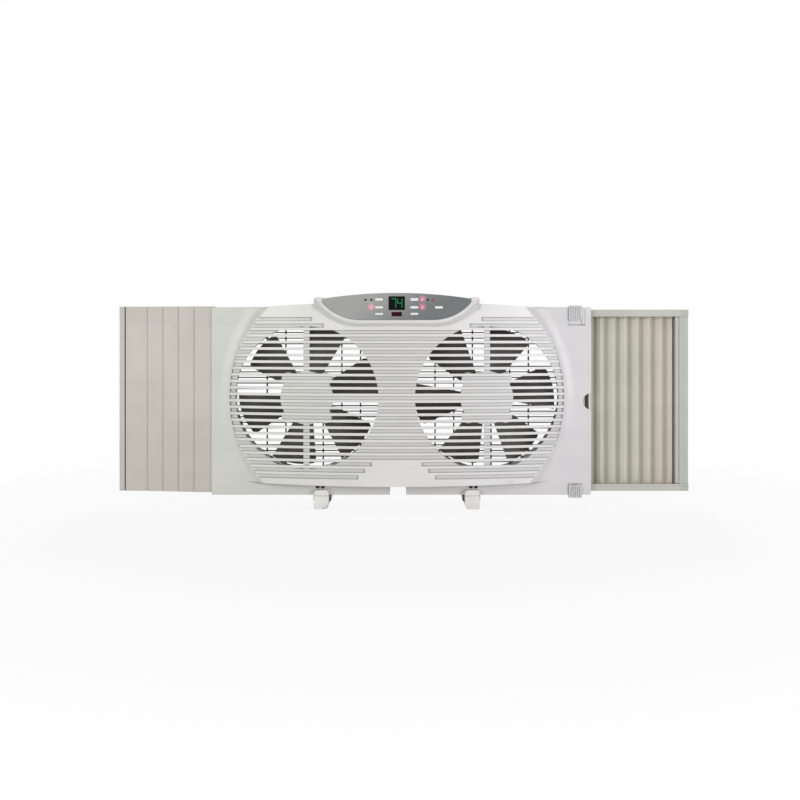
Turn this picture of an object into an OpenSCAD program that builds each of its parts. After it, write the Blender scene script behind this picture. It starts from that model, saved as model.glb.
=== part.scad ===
// Twin window fan. X runs along the window, Y runs from the room to the outside, Z is up.
// X = 0 lies midway between the fans, Y = 0 is where the front cover meets the rear housing,
// and Z = 0 is the surface that the feet stand on. All sizes are in millimetres.

/* [Body] */
// Distance from the middle to the left end of the body
body_left = 290.5; // [289:0.5:300]
// Distance from the middle to the right end of the body
body_right = 304.5; // [302:0.5:320]
// Height of the body's underside above the surface
body_z0 = 21; // [18:0.5:30]
// Height of the body's flat top above the surface
body_z1 = 315; // [313:0.5:330]
// Depth of the rear housing
housing_depth = 60; // [56:1:80]
// Wall of the housing and the cover's flange
wall = 2.5; // [2:0.1:3]
// Distance from the parting plane to the front of the flange
flange_front = 5; // [4.5:0.1:6]
// Radius of the body's right corners
corner_r = 3; // [3:0.5:12]
// Radius of the housing's rear corners
rear_corner_r = 14; // [6:1:20]

/* [Bulge of the front cover] */
// Distance from the parting plane to the crown of the bulge
crown_depth = 42; // [40:0.5:46]
// Radius of the bow of the front, seen from above
bow_r = 1080; // [1000:10:1300]
// Radius of the front's slight bow from top to bottom
barrel_r = 6000; // [4000:100:9000]
// Thickness of the bowed front
shell = 3; // [2.5:0.1:3.5]
// Half width of the bulge at its middle height
bulge_half_w = 270; // [266:1:274]
// Radius of the bulge's two rounded ends
bulge_end_r = 235; // [220:1:250]
// Height of the bulge's top edge at the middle
bulge_top_z = 321.7; // [319:0.1:324]
// Height of the bulge's bottom edge at the middle
bulge_bottom_z = 38.7; // [36:0.1:42]
// Radius of the arch of the bulge's top edge
arch_r = 3210; // [2500:10:5000]
// Radius of the arch of the bulge's bottom edge
sill_arch_r = 8000; // [4000:100:12000]
// Radius that the bulge's top edge is eased to
edge_ease = 9; // [5:0.5:12]
// Radius that the bulge's bottom edge is eased to
sill_ease = 4; // [2:0.5:9]

/* [Front grille] */
// Distance from the middle to each fan's axis
fan_x = 139; // [137:0.5:141]
// Height of the fan axes
fan_z = 174.5; // [172:0.5:177]
// Radius of each round opening at its top and bottom
opening_r = 110; // [108:0.5:111]
// How much larger the radius of each opening's sides is
opening_more = 2.3; // [0:0.1:3]
// Distance that an opening's sides are set out from the fan's axis
opening_out = 1.3; // [0:0.1:2]
// Distance between the slots
row_pitch = 10.1; // [9:0.1:11]
// Height of a slot
slot_h = 6.1; // [4:0.1:7]
// Number of slots above and below the middle one
rows_each_way = 12; // [8:1:12]
// Depth of the blind grooves that carry the slots on
groove_depth = 2; // [0.6:0.1:2]
// Half width of the grooved field at its middle height
groove_half_w = 261; // [250:1:264]
// Radius of the grooved field's two ends
groove_end_r = 215.5; // [200:0.5:240]
// Width of the upright rib across each opening
rib_w = 9.5; // [6:0.5:12]
// Radius of the disc in front of each motor
disc_r = 41; // [38:0.5:44]
// Radius of the four lobes that the motor is screwed to
lobe_r = 10; // [8:0.5:12]
// Distance of each lobe from the fan axis, both sideways and up
lobe_off = 29; // [27:0.5:31]

/* [Rear grilles] */
// Distance between the bars of a rear grille
rear_pitch = 9.2; // [7:0.1:12]
// Height of one bar
rear_bar_h = 1.7; // [1.2:0.1:2.5]
// Distance between the uprights
upright_pitch = 30.6; // [24:0.1:36]
// Number of uprights in a rear grille
uprights = 6; // [4:2:6]
// Distance that the left grille's uprights are set towards the middle
left_upright_shift = 2.8; // [0:0.1:4]
// Width of one upright
upright_w = 2.2; // [1.5:0.1:3]
// Thickness of the rear grille
rear_grille_t = 3; // [2:0.1:4]
// Outer radius of the rear grille's ring
rear_ring_r = 124; // [119:0.5:125]
// Inner radius of the rear grille's ring
rear_ring_in_r = 119; // [113:0.5:120]

/* [Fans and motors] */
// Radius at the foremost corner of a blade's tip
tip_r = 112; // [104:0.5:113]
// Radius of the arc that a blade's tip follows
tip_arc_r = 109; // [96:0.2:112]
// Distance of that arc's middle from the fan axis
tip_arc_out = 4; // [2:0.5:22]
// Radius of the blade hub
hub_r = 34; // [30:0.5:38]
// Number of blades on a fan
blades = 6; // [4:1:6]
// Angle that a blade covers at its root
blade_root_deg = 39.5; // [30:0.5:44]
// Angle that a blade covers near its tip
blade_tip_deg = 36.5; // [28:0.5:42]
// Thickness of a blade
blade_t = 2; // [1.5:0.1:3]
// Radius of a blade's camber
camber_r = 140; // [110:5:200]
// Pitch of a blade at its middle
blade_pitch = 20; // [14:0.5:24]
// Angle of the left fan as it stands
left_fan_deg = 58.4; // [0:0.1:60]
// Angle of the right fan as it stands
right_fan_deg = 49.5; // [0:0.1:60]
// Radius of the motor's laminated body
motor_r = 32; // [28:0.5:36]
// Length of the motor behind its mounting plate
motor_len = 28; // [24:0.5:29]
// Radius of the motor shaft
shaft_r = 3; // [2.5:0.1:4]
// Inner radius of the duct around each fan
duct_r = 120; // [117:0.5:121]
// Distance that a duct is set out from its fan's axis
duct_out = 5; // [4.5:0.1:5.6]
// Wall of the duct
duct_wall = 2.4; // [2:0.1:2.5]

/* [Controls] */
// Half width of the straight bottom edge of the control panel
panel_flat = 55.5; // [52:0.1:60]
// Radius of the control panel's lower corners
panel_corner_r = 76; // [74:0.5:80]
// Half width of the control panel at its top corners
panel_half_w = 113.5; // [110:0.5:115]
// Height of the control panel's bottom edge
panel_z0 = 294.4; // [292:0.1:296]
// Height of the control panel's top edge at the middle
panel_z1 = 335.3; // [333:0.1:338]
// Radius of the control panel's top edge
panel_top_r = 733; // [600:1:900]
// Thickness of the control panel
panel_t = 2; // [1.5:0.1:2.5]
// Distance from the parting plane to the face of the control panel
panel_front = 45.2; // [44.8:0.1:46]
// Height at which the raised rim's two horns end
rim_top_z = 328.6; // [325:0.1:330]
// Depth of the control box on top of the housing
control_back = 24; // [16:1:34]
// Width of a button
button_w = 12.7; // [10:0.1:14]
// Travel of a button
button_travel = 0.8; // [0.4:0.1:0.8]
// Distance from the middle to the two button columns
button_col = 26.8; // [25:0.1:28]
// Place of the single button at the right
lone_button_x = 64.3; // [60:0.1:68]
// Places of the three button rows, from the lowest up
button_rows = [303.3, 313.2, 325.3];
// Heights of the buttons in these rows
button_heights = [3.4, 4, 4.6];
// Width of the display
display_w = 25; // [22:0.5:26]
// Height of the display
display_h = 21; // [18:0.5:22]
// Height of the display's middle
display_z = 319.7; // [319:0.1:321]
// Height of one digit
digit_h = 13.5; // [9:0.5:16]
// Width of one digit
digit_w = 6.6; // [5:0.1:8]
// Radius of an indicator
indicator_r = 1.5; // [1:0.1:2]

/* [Left expander] */
// Width of one slat
slat_w = 33; // [31:0.5:34]
// Thickness of one slat
slat_t = 2.2; // [1.6:0.1:2.4]
// Distance between neighbouring slats when pulled out
slat_pitch = 25.3; // [24:0.1:26]
// Free height between two slat layers
slat_gap = 1; // [0.8:0.1:1.2]
// Height of the slats' lower ends
slat_z0 = 24.5; // [20:0.5:30]
// Height of the slats' upper ends
slat_z1 = 316.3; // [310:0.1:325]
// Distance that the first slat shows beyond the body
slat_show = 27.5; // [24:0.5:28]
// Width of the outermost slat's open part
last_slat_show = 36; // [30:0.5:40]
// Width of the left end stile
left_stile_w = 10; // [6:0.5:14]
// Depth of the left end stile
left_stile_d = 20; // [18:0.5:26]

/* [Right expander] */
// Distance from the body to the outer face of the right end stile
right_reach = 156; // [150:0.5:160]
// Width of the right end stile
right_stile_w = 14.5; // [10:0.5:20]
// Height of a rail
rail_h = 11; // [10:0.1:14]
// Depth of a rail
rail_d = 25; // [20:0.5:27]
// Wall of a rail
rail_wall = 2; // [1.6:0.1:3]
// Length of a rail that stays inside the body
rail_inside = 54; // [40:1:56]
// Width of the bead that holds the curtain's end
bead_w = 5.5; // [4:0.5:8]
// Distance between the pleats of the curtain
pleat_pitch = 18.5; // [14:0.5:24]
// Depth of the pleats from crest to crest
pleat_depth = 15; // [8:0.5:17]
// Thickness of the curtain
curtain_t = 1.2; // [0.8:0.1:1.6]

/* [Locks] */
// Width of a lock
lock_w = 20.5; // [16:0.5:22]
// Height of a lock
lock_h = 22.3; // [18:0.1:24]
// Thickness of a lock in front of its recess
lock_t = 3.6; // [3:0.1:5]
// Distance that the upper lock stands above the body
lock_rise = 2.3; // [0:0.1:3]
// Distance that the lower lock hangs below the body
lock_drop = 4.3; // [0:0.1:5]
// Distance from the body's right end to the locks' right side
lock_inset = 15; // [14:0.5:18]

/* [Feet] */
// Distance from the middle to each foot
foot_x = 117.5; // [112:0.5:125]
// Width of a foot's post
foot_w = 22.7; // [18:0.1:26]
// Length of a foot behind its pivot
foot_back = 144; // [110:1:146]
// Distance from a foot's pivot to its front
foot_front = 24; // [20:0.5:26]
// Distance from the parting plane to the foot pivots
pivot_y = 7; // [7:0.5:10]
// Radius of the round swivel
swivel_r = 14.2; // [12:0.1:15]
// Width of a foot's sole
sole_w = 18; // [14:0.5:22]
// Thickness of a foot's sole
sole_t = 8; // [6:0.5:10]
// Radius of the pivot pins
pin_r = 3; // [2:0.1:4]

/* [Fits] */
// Gap between pieces that move past each other
clear = 0.3; // [0.2:0.05:0.4]
// Radial gap of a shaft in its bearing
running = 0.05; // [0.02:0.01:0.09]
// Radial gap of a screw in its hole
screw_fit = 0.1; // [0.05:0.05:0.2]

/* [Hidden] */

$fn = 48;
big_fn = 360;
far = 400;           // longer than the body in any direction
eps = 0.01;

COVER = [0.86, 0.86, 0.85];
SHELL = [0.83, 0.83, 0.81];
SLAT = [0.77, 0.75, 0.71];
CURTAIN = [0.74, 0.73, 0.66];
FASCIA = [0.55, 0.56, 0.56];
DARK = [0.24, 0.24, 0.23];
BUTTON = [0.93, 0.93, 0.92];
STEEL = [0.72, 0.72, 0.74];
RUBBER = [0.2, 0.2, 0.2];

flange_y = -flange_front;
flange_back = flange_y + wall;
crown_y = -crown_depth;

// ---- Helpers -------------------------------------------------------------------------------

// Flat shape in X and Z, given a depth from y0 to y1
module along_y(y0, y1) {
    translate([0, y1, 0]) rotate([90, 0, 0]) linear_extrude(y1 - y0) children();
}

// Flat shape in Y and Z, given a length from x0 to x1
module along_x(x0, x1) {
    translate([x0, 0, 0]) rotate([90, 0, 90]) linear_extrude(x1 - x0) children();
}

// Box between two corners
module span(low, high) {
    translate(low) cube(high - low);
}

// Round bar along Y
module rod_y(x, z, r, y0, y1) {
    translate([x, y1, z]) rotate([90, 0, 0]) cylinder(r = r, h = y1 - y0);
}

// Profile in radius and Y, turned about an axis along Y
module turned(x, z) {
    translate([x, 0, z]) rotate([-90, 0, 0]) rotate_extrude($fn = big_fn) children();
}

// Rectangle with its corners rounded by r
module round_rect(x0, z0, x1, z1, r) {
    translate([x0 + r, z0]) square([x1 - x0 - 2 * r, z1 - z0]);
    translate([x0, z0 + r]) square([x1 - x0, z1 - z0 - 2 * r]);
    for (x = [x0 + r, x1 - r], z = [z0 + r, z1 - r]) translate([x, z]) circle(r);
}

// Pill with flat long sides
module pill(w, h) {
    translate([-(w - h) / 2, -h / 2]) square([w - h, h]);
    for (s = [-1, 1]) translate([s * (w - h) / 2, 0]) circle(h / 2);
}

// ---- Bulge ---------------------------------------------------------------------------------

bulge_end_x = bulge_half_w - bulge_end_r;

// Steps of the bulge's ends, as distance outside their radius and height above the flange
dome_steps = [
    [10, 0], [6, 0.3], [2, 0.9], [-2, 1.8], [-5.5, 3], [-8, 4.4], [-10, 6], [-12, 8], [-15.5, 12],
    [-21.5, 19], [-28.5, 27], [-37, 37], [-46, 47]
];

// Outline of the bulge's rounded end, as radius and Y, set in by d
function dome(d, base) = concat(
    [[0, base], [bulge_end_r + dome_steps[0][0] - d, base]],
    [for (p = dome_steps) [bulge_end_r + p[0] - d, flange_y + d - p[1]]],
    [[0, flange_y - dome_steps[len(dome_steps) - 1][1]]]
);

// Bowed front surface, set in by d and filled behind
module bow(d) {
    translate([0, crown_y + bow_r, 0]) rotate_extrude($fn = big_fn) intersection() {
        translate([bow_r - barrel_r, fan_z]) circle(barrel_r - d, $fn = 4 * big_fn);
        translate([0, -far / 4]) square([bow_r, 1.5 * far]);
    }
}

// Bowed surface leaned back by a degrees about the long edge at height z, which faces up or
// down and is eased by e
module leaned_bow(z, side, e, a, d) {
    y = crown_y + e * (1 - cos(a)) + d * cos(a);
    zz = z - side * e * (1 - sin(a)) - side * d * sin(a);
    translate([0, y, zz]) rotate([-side * a, 0, 0]) translate([0, bow_r, 0])
        cylinder(r = bow_r, h = 3 * far, center = true, $fn = big_fn);
}

// Whole bulge, set in by d, with its back at y = base
module bulge(d, base) {
    intersection() {
        bow(d);
        union() for (s = [-1, 1]) turned(s * bulge_end_x, fan_z) polygon(dome(d, base));
        along_y(-2 * crown_depth, base + 1) intersection() {
            translate([0, bulge_top_z - arch_r]) circle(arch_r - d, $fn = 4 * big_fn);
            translate([0, bulge_bottom_z + sill_arch_r])
                circle(sill_arch_r - d, $fn = 4 * big_fn);
        }
        for (a = [30, 60]) {
            leaned_bow(bulge_top_z - 2, 1, edge_ease, a, d);
            leaned_bow(bulge_bottom_z + 0.8, -1, sill_ease, a, d);
        }
    }
}

// ---- Front grille --------------------------------------------------------------------------

groove_end_x = groove_half_w - groove_end_r;
top_row_half = fan_x - 9;               // where the top row starts beside the control panel
row_step_in = 18;                       // how much further in the next row starts
bare_half = 38;                         // half width of the smooth field below the grooves
bare_step = 10.3;                       // how much the smooth field widens per row

// One slot row as a strip across the whole front
module row_strip(k) {
    translate([-far, fan_z + k * row_pitch - slot_h / 2]) square([2 * far, slot_h]);
}

// Half width that a row leaves free around the middle of the body
function row_free(k) =
    k >= rows_each_way - 1 ? top_row_half - (rows_each_way - k) * row_step_in :
    k <= 2 - rows_each_way ? bare_half + (2 - rows_each_way - k) * bare_step : 0;

// All slot rows, within the field that has them
module rows() {
    intersection() {
        union() for (s = [-1, 1]) translate([s * groove_end_x, fan_z])
            circle(groove_end_r, $fn = big_fn);
        union() for (k = [-rows_each_way : rows_each_way]) difference() {
            row_strip(k);
            if (row_free(k) > 0) translate([-row_free(k), 0]) square([2 * row_free(k), far]);
        }
    }
}

// Disc and lobes in front of a motor, set in by d
module motor_disc(x, d) {
    translate([x, fan_z]) {
        circle(disc_r - d, $fn = 120);
        for (a = [-1, 1], b = [-1, 1]) translate([a * lobe_off, b * lobe_off]) circle(lobe_r - d);
    }
}

// Outline of one opening, a little wider than high
module opening(x) {
    translate([x, fan_z]) circle(opening_r, $fn = 180);
    intersection() {
        translate([x + sign(x) * opening_out, fan_z]) circle(opening_r + opening_more, $fn = 180);
        translate([-far, fan_z - 10.4 * row_pitch]) square([2 * far, 20.8 * row_pitch]);
    }
}

// Open part of one round opening
module open_slots(x) {
    difference() {
        intersection() {
            rows();
            opening(x);
        }
        translate([x - rib_w / 2, 0]) square([rib_w, far]);
        translate([min(x, 0), fan_z - slot_h / 2 - eps]) square([fan_x, slot_h + 2 * eps]);
        motor_disc(x, 0);
    }
}

// ---- Control panel -------------------------------------------------------------------------

panel_cz = panel_z0 + panel_corner_r;

// Bowl below the panel's top edge, grown by o, with no top
module panel_bowl(o) {
    intersection() {
        union() {
            translate([-panel_flat, panel_z0 - o]) square([2 * panel_flat, panel_corner_r + o]);
            for (s = [-1, 1]) translate([s * panel_flat, panel_cz])
                circle(panel_corner_r + o, $fn = 180);
        }
        translate([-panel_half_w - o, 0]) square([2 * (panel_half_w + o), far]);
    }
}

// Outline of the control panel, grown by o
module panel_outline(o) {
    intersection() {
        panel_bowl(o);
        translate([0, panel_z1 - panel_top_r]) circle(panel_top_r + o, $fn = big_fn);
    }
}

rim_w = 5.4;                            // width of the rim's crest
rim_rise = 2.4;                         // height of the rim's crest above the panel
rim_half_w = 127.3;                     // distance from the middle to the rim's outer sides
rim_crest_y = -panel_front - rim_rise;
rim_in = panel_corner_r + clear;
rim_end = rim_in + 26;                  // where the rim's flank has run into the bulge

// Cross section of the rim as distance from the panel's corner centre, and Y
rim_section = [
    [rim_in - 6, flange_y], [rim_in - 6, rim_crest_y + 2.8], [rim_in, rim_crest_y + 1.8],
    [rim_in + 1, rim_crest_y + 0.6],
    [rim_in + rim_w / 2, rim_crest_y], [rim_in + rim_w - 1, rim_crest_y + 0.5],
    [rim_in + rim_w, rim_crest_y + 1.5],
    [rim_in + rim_w + 1.6, rim_crest_y + 3.8], [rim_in + rim_w + 3.4, rim_crest_y + 7],
    [rim_in + rim_w + 5.6, rim_crest_y + 10.6], [rim_in + rim_w + 8.6, rim_crest_y + 13.9],
    [rim_in + rim_w + 13, rim_crest_y + 16.4], [rim_end, rim_crest_y + 18],
    [rim_end, flange_y]
];

horn_r = 6;                             // rounding of the horns' outer corners

// Right half of the rim seen from the room, from x0 outwards
module horn_outline(x0) {
    translate([x0, 0]) square([rim_half_w - x0, rim_top_z - horn_r]);
    translate([x0, 0]) square([rim_half_w - horn_r - x0, rim_top_z]);
    translate([rim_half_w - horn_r, rim_top_z - horn_r]) circle(horn_r);
}

// Raised rim around the control panel
module rim() {
    difference() {
        union() {
            for (s = [-1, 1]) intersection() {
                turned(s * panel_flat, panel_cz) polygon(rim_section);
                mirror([s < 0 ? 1 : 0, 0, 0]) along_y(-far, far) horn_outline(panel_flat);
            }
            along_x(-panel_flat, panel_flat)
                polygon([for (p = rim_section) [p[1], panel_cz - p[0]]]);
        }
        along_y(-far, far) panel_bowl(clear);
    }
}

// Cheeks that carry the rim's horns back to the housing
module cheeks() {
    along_y(rim_crest_y + 12, 0) difference() {
        intersection() {
            translate([-rim_half_w, body_z1 - wall])
                square([2 * rim_half_w, rim_top_z - body_z1 + wall]);
            for (s = [-1, 1]) mirror([s < 0 ? 1 : 0, 0]) horn_outline(0);
        }
        panel_bowl(clear);
    }
}

// ---- Body ----------------------------------------------------------------------------------

slat_layer = slat_t + slat_gap;
slat_front = flange_back + slat_gap;
pocket_back = slat_front + 4 * slat_layer + slat_t + 0.5;
pocket_x = -body_left + slat_w + 1.5;   // inner end of the pocket that the slats slide into
boss_r = 4.5;
screw_r = 1.5;
screw_tip_y = flange_y + 1.3;            // where the body screws end inside the flange
post_y = -22;                           // plane that the motor plates rest on
notch_r = 12.7;                         // finger notch in the right end
notch_z = 167.3;
sill_notch_x = 2;                       // middle of the notch in the bottom edge
sill_notch_w = 26;
collar_end = -9;                        // where the cover's collars end

// Places of the screws that hold cover and housing together, as X and Z
body_screws = [[-245, 298], [-245, 46], [0, 279], [0, 60], [268, 270], [268, 70]];

module body_outline(d) {
    round_rect(-body_left + d, body_z0 + d, body_right - d, body_z1 - d, corner_r - d);
    translate([-body_left + d, body_z0 + d]) square([far / 2, body_z1 - body_z0 - 2 * d]);
}

lock_x1 = body_right - lock_inset;
lock_x0 = lock_x1 - lock_w;
lock_mid = (lock_x0 + lock_x1) / 2;
upper_lock_z1 = body_z1 + lock_rise;
upper_lock_z0 = upper_lock_z1 - lock_h;
lower_lock_z0 = body_z0 - lock_drop;
lower_lock_h = lock_h - 2.3;
lower_lock_z1 = lower_lock_z0 + lower_lock_h;
lock_recess = 1;                        // depth of the recess that a lock slides in
lock_travel_down = 7.4;
lock_travel_up = 2.4;
lock_stem_w = 9;
lock_stem_h = 9;
recess_x1 = lock_x1 + 5;
seam = 0.9;                             // width and depth of the seam lines on the right end

// Everything cut from the right end's face for the two locks
module lock_cuts() {
    floor_y = flange_y + lock_recess;
    span([lock_x0 - clear, flange_y - 1, upper_lock_z0 - lock_travel_down - clear],
         [lock_x1 + clear, floor_y, body_z1 + 1]);
    span([lock_x0 - clear, flange_y - 1, body_z0 - 1],
         [lock_x1 + clear, floor_y, lower_lock_z1 + lock_travel_up + clear]);
    for (z = [upper_lock_stem - lock_travel_down, lower_lock_stem]) {
        travel = z == lower_lock_stem ? lock_travel_up : lock_travel_down;
        span([lock_mid - lock_stem_w / 2 - clear, flange_y - 1, z - clear],
             [lock_mid + lock_stem_w / 2 + clear, 0, z + lock_stem_h + travel + clear]);
    }
    // seams below and beside the upper lock
    seam_z1 = upper_lock_z0 - lock_travel_down + 0.4;
    span([recess_x1, flange_y - 1, seam_z1 - 2 * seam],
         [recess_x1 + seam / 2, flange_y + seam, body_z1 - 4]);
    span([lock_x0 - clear, flange_y - 1, seam_z1 - 2 * seam],
         [recess_x1 + eps, flange_y + lock_recess + seam / 2, seam_z1]);
}

upper_lock_stem = upper_lock_z0 + 8;
lower_lock_stem = lower_lock_z0 + 9;

foot_slot_w = 5.6;
foot_slot_h = 3.6;
foot_slot_z = 32.9;
foot_slot_out = 2.5;                    // how far outside a foot's middle its two slots sit

module front_cover() {
    color(COVER) difference() {
        union() {
            difference() {
                union() {
                    along_y(flange_y, flange_back) body_outline(0);
                    bulge(0, 0);
                    rim();
                    cheeks();
                }
                bulge(shell, 1);
                along_y(-far, 1) panel_bowl(clear);
            }
            // lip that meets the housing
            along_y(flange_back - eps, 0) difference() {
                body_outline(0);
                body_outline(wall);
                translate([-far, 0]) square([far + pocket_x, far]);
                panel_bowl(clear);
            }
            // lip that catches the first slat
            span([-body_left, flange_back - eps, body_z0],
                 [-body_left + 1.7, flange_back + slat_gap - clear, body_z1]);
            intersection() {
                bulge(eps, 0);
                union() {
                    for (s = [-1, 1]) {
                        along_y(-far, collar_end) difference() {
                            translate([s * (fan_x + opening_out), fan_z])
                                circle(opening_r + opening_more + duct_wall, $fn = 180);
                            opening(s * fan_x);
                        }
                        along_y(-far, post_y) difference() {
                            motor_disc(s * fan_x, 0);
                            translate([s * fan_x, fan_z]) circle(disc_r - shell, $fn = 120);
                        }
                    }
                    for (p = body_screws) rod_y(p[0], p[1], boss_r, -far / 4, 0);
                }
            }
            for (p = body_screws) rod_y(p[0], p[1], boss_r, flange_back - eps, 0);
        }
        difference() {
            along_y(-far, flange_back) rows();
            bow(groove_depth);
        }
        for (s = [-1, 1]) along_y(-far, collar_end) open_slots(s * fan_x);
        for (s = [-1, 1], a = [-1, 1], b = [-1, 1])
            rod_y(s * fan_x + a * lobe_off, fan_z + b * lobe_off, screw_r + screw_fit,
                  post_y - 4, post_y + 1);
        for (p = body_screws) rod_y(p[0], p[1], screw_r + screw_fit, screw_tip_y - 0.1, 1);
        // room for the slats behind the flange
        span([-body_left - 1, flange_back + slat_gap - clear, 0], [pocket_x, pocket_back, far]);
        span([-body_left + 1.7, flange_back, 0], [pocket_x, pocket_back, far]);
        rod_y(body_right, notch_z, notch_r, -far, 1);
        span([sill_notch_x - sill_notch_w / 2, -far, 0],
             [sill_notch_x + sill_notch_w / 2, 1, bulge_bottom_z - 4]);
        for (s = [-1, 1], t = [-1, 1])
            translate([s * (foot_x + foot_slot_out) + t * (foot_slot_w / 2 + 1.2), 0, 0])
            span([-foot_slot_w / 2, flange_y - 1, foot_slot_z - foot_slot_h / 2],
                 [foot_slot_w / 2, 1, foot_slot_z + foot_slot_h / 2]);
        lock_cuts();
    }
}

// Plan of the rear housing set in by d, in X and Y
module housing_plan(d, front) {
    r = rear_corner_r - d;
    y1 = housing_depth - d;
    translate([pocket_x + d, front]) square([body_right - pocket_x - 2 * d, y1 - r - front]);
    translate([-body_left + d, pocket_back + d])
        square([body_left + body_right - 2 * d, y1 - r - pocket_back - d]);
    translate([-body_left + d + r, pocket_back + d])
        square([body_left + body_right - 2 * d - 2 * r, y1 - pocket_back - d]);
    for (x = [-body_left + d + r, body_right - d - r]) translate([x, y1 - r]) circle(r);
}

frame_y0 = 5;                           // front of the right expander's frame
frame_y1 = frame_y0 + rail_d;

module rear_housing() {
    color(SHELL) difference() {
        union() {
            difference() {
                translate([0, 0, body_z0]) linear_extrude(body_z1 - body_z0) housing_plan(0, 0);
                translate([0, 0, body_z0 + wall])
                    linear_extrude(body_z1 - body_z0 - 2 * wall) housing_plan(wall, -1);
            }
            // plate that closes the arched top of the cover
            along_y(0, wall) difference() {
                intersection() {
                    translate([0, bulge_top_z - arch_r]) circle(arch_r, $fn = 4 * big_fn);
                    translate([-fan_x - 83, body_z1 - wall]) square([2 * fan_x + 166, far]);
                }
                panel_bowl(clear);
            }
            for (p = body_screws) rod_y(p[0], p[1], boss_r, 0, housing_depth - wall / 2);
        }
        for (s = [-1, 1]) rod_y(s * (fan_x + duct_out), fan_z, duct_r, housing_depth - wall - 1,
                                housing_depth + 1, $fn = 180);
        for (p = body_screws) rod_y(p[0], p[1], screw_r + screw_fit, -1, housing_depth + 1);
        // mouth that the right frame slides through
        span([body_right - wall - 1, frame_y0 - 0.6, frame_z0 - clear],
             [body_right + 1, frame_y1 + 0.6, frame_z1 + clear]);
        rod_y(cord_x, cord_z, cord_body_r, housing_depth - wall - 1, housing_depth + 1);
        for (s = [-1, 1]) translate([s * foot_x, pivot_y, body_z0 - 1])
            cylinder(r = pin_r, h = wall + 2);
        // the notch in the bottom edge, carried on to the back
        span([sill_notch_x - sill_notch_w / 2, -1, body_z0 - 1],
             [sill_notch_x + sill_notch_w / 2, housing_depth + 1, body_z0 + wall + 1.5]);
    }
}

duct_y0 = pocket_back + wall + 0.5;     // where the ducts begin, behind the slats' pocket

module duct(x) {
    color(DARK) along_y(duct_y0, housing_depth - wall) translate([x, fan_z]) difference() {
        circle(duct_r + duct_wall, $fn = 180);
        circle(duct_r, $fn = 180);
    }
}
module left_duct() { duct(-fan_x - duct_out); }
module right_duct() { duct(fan_x + duct_out); }

// Rear grille of crossed bars inside a ring about x, its uprights spaced evenly about mid_x
module rear_grille(x, mid_x) {
    lines = floor(rear_ring_in_r / rear_pitch);
    color(DARK) translate([x, 0, fan_z]) {
        along_y(housing_depth, housing_depth + rear_grille_t) difference() {
            circle(rear_ring_r, $fn = 180);
            circle(rear_ring_in_r, $fn = 180);
        }
        along_y(housing_depth, housing_depth + rear_grille_t / 2) intersection() {
            circle(rear_ring_in_r + 1, $fn = 180);
            union() for (k = [-lines : lines])
                translate([-far, k * rear_pitch - rear_bar_h / 2]) square([2 * far, rear_bar_h]);
        }
        along_y(housing_depth, housing_depth + rear_grille_t) intersection() {
            circle(rear_ring_in_r + 1, $fn = 180);
            union() for (k = [0.5 - uprights / 2 : uprights / 2 - 0.5])
                translate([mid_x - x + k * upright_pitch - upright_w / 2, -far])
                    square([upright_w, 2 * far]);
        }
    }
}
module left_rear_grille() { rear_grille(-fan_x - duct_out, -fan_x + left_upright_shift); }
module right_rear_grille() { rear_grille(fan_x + duct_out, fan_x); }

// ---- Motors and fans -----------------------------------------------------------------------

plate_t = 1.5;
bell_r = 24;
bearing_r = 8;
motor_y1 = post_y + plate_t + motor_len;
hub_y0 = motor_y1 + 3;
hub_len = 24;
blade_mid_y = hub_y0 + 9;
shaft_y0 = post_y + 4;
shaft_y1 = hub_y0 + hub_len + 8;
nut_t = 5;

module motor(x) {
    color(STEEL) difference() {
        union() {
            along_y(post_y, post_y + plate_t) difference() {
                motor_disc(x, 1);
                for (a = [-1, 1], b = [-1, 1])
                    translate([x + a * lobe_off, fan_z + b * lobe_off]) circle(screw_r + screw_fit);
            }
            rod_y(x, fan_z, bell_r + 3, post_y, post_y + 8);
            rod_y(x, fan_z, motor_r, post_y + 6, motor_y1 - 8, $fn = 96);
            rod_y(x, fan_z, bell_r, post_y + 6, motor_y1 - 2);
            rod_y(x, fan_z, bearing_r, post_y + 6, motor_y1);
        }
        rod_y(x, fan_z, shaft_r + running, shaft_y0 - 1, motor_y1 + 1);
    }
}
module left_motor() { motor(-fan_x); }
module right_motor() { motor(fan_x); }

module motor_screws() {
    color(STEEL) for (s = [-1, 1], a = [-1, 1], b = [-1, 1]) {
        rod_y(s * fan_x + a * lobe_off, fan_z + b * lobe_off, screw_r, post_y - 3.8,
              post_y + plate_t + 1);
        rod_y(s * fan_x + a * lobe_off, fan_z + b * lobe_off, 2 * screw_r, post_y + plate_t,
              post_y + plate_t + 2);
    }
}

module shaft(x) { color(STEEL) rod_y(x, fan_z, shaft_r, shaft_y0, shaft_y1); }
module left_shaft() { shaft(-fan_x); }
module right_shaft() { shaft(fan_x); }

module blade_nut(x) {
    color(DARK) difference() {
        union() {
            rod_y(x, fan_z, 9, hub_y0 + hub_len, hub_y0 + hub_len + nut_t / 2);
            along_y(hub_y0 + hub_len, hub_y0 + hub_len + nut_t)
                translate([x, fan_z]) circle(7, $fn = 6);
        }
        rod_y(x, fan_z, shaft_r, hub_y0, shaft_y1 + 1);
    }
}
module left_blade_nut() { blade_nut(-fan_x); }
module right_blade_nut() { blade_nut(fan_x); }

function polar(r, a) = [r * cos(a), r * sin(a)];

// Outline of one blade seen from the room, from its straight edge at angle 0
blade_outline = [
    polar(hub_r - 2, 0), polar(tip_r + 9, 0), polar(tip_r + 12, blade_tip_deg / 2),
    polar(tip_r - 3, blade_tip_deg - 2), polar(tip_r - 8, blade_tip_deg),
    polar(hub_r - 2, blade_root_deg)
];

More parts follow.
